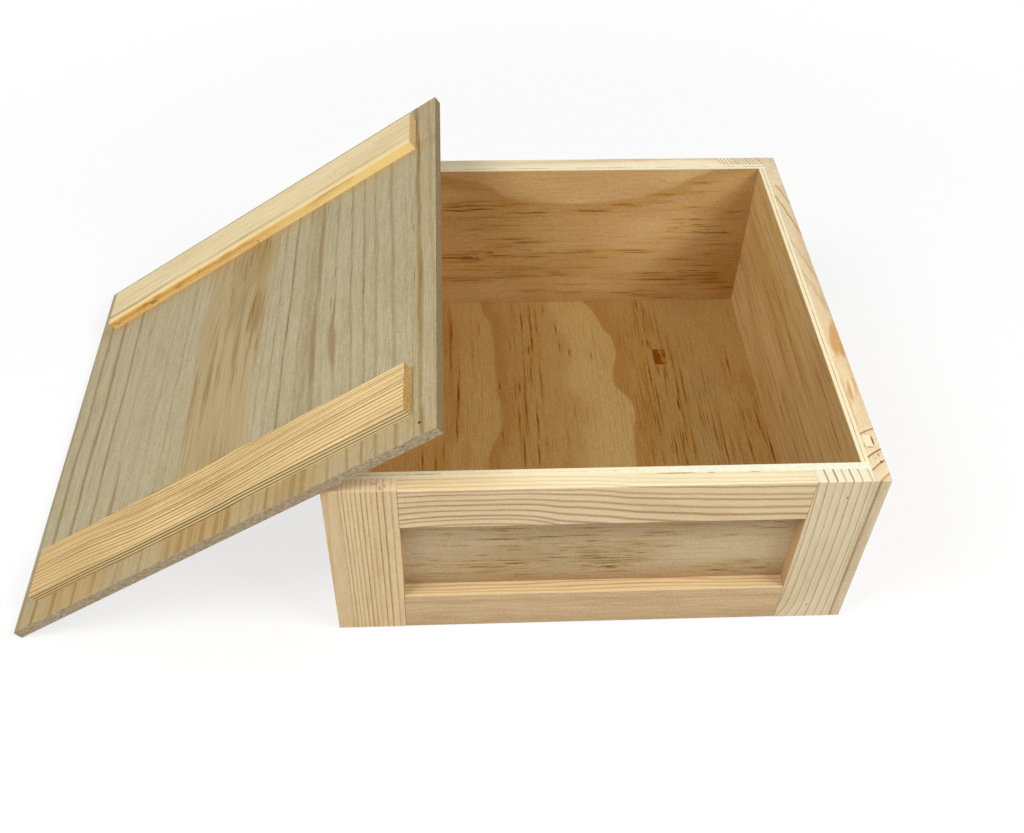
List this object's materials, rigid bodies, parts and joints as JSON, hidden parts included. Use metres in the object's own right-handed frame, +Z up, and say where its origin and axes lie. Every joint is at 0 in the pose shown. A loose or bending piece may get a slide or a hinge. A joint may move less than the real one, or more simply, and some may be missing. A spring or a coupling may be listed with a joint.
{
  "type": "wooden keepsake box",
  "caption": "Square wooden keepsake box with framed and panelled walls, a flat floor and a loose board lid on two cross battens, shown off the box and leaning on its rim.",
  "frame": {"origin": "centre of the box's underside, on the surface that it stands on", "axes": "+X to the right as seen from the front, +Y to the back, +Z up"},
  "size_m": [0.4967, 0.3074, 0.1771],
  "materials": {
    "frame_pine": "bare, sanded",
    "lining_plywood": "bare, sanded",
    "floor_plywood": "bare, sanded",
    "lid_board": "bare, sanded",
    "batten_pine": "bare, sanded"
  },
  "bodies": {
    "box": {"floor_panel": "floor_plywood", "front_lining": "lining_plywood", "back_lining": "lining_plywood", "left_lining": "lining_plywood", "right_lining": "lining_plywood", "front_left_stile": "frame_pine", "front_right_stile": "frame_pine", "front_top_rail": "frame_pine", "front_bottom_rail": "frame_pine", "back_left_stile": "frame_pine", "back_right_stile": "frame_pine", "back_top_rail": "frame_pine", "back_bottom_rail": "frame_pine", "left_front_stile": "frame_pine", "left_back_stile": "frame_pine", "left_top_rail": "frame_pine", "left_bottom_rail": "frame_pine", "right_front_stile": "frame_pine", "right_back_stile": "frame_pine", "right_top_rail": "frame_pine", "right_bottom_rail": "frame_pine"},
    "lid": {"lid_board": "lid_board", "lid_front_batten": "batten_pine", "lid_back_batten": "batten_pine"}
  },
  "joints": [
    {"name": "lid_lift", "type": "slide", "parent": "box", "child": "lid", "axis": [0, 0, 1], "range_m": [0, 0.2]}
  ]
}
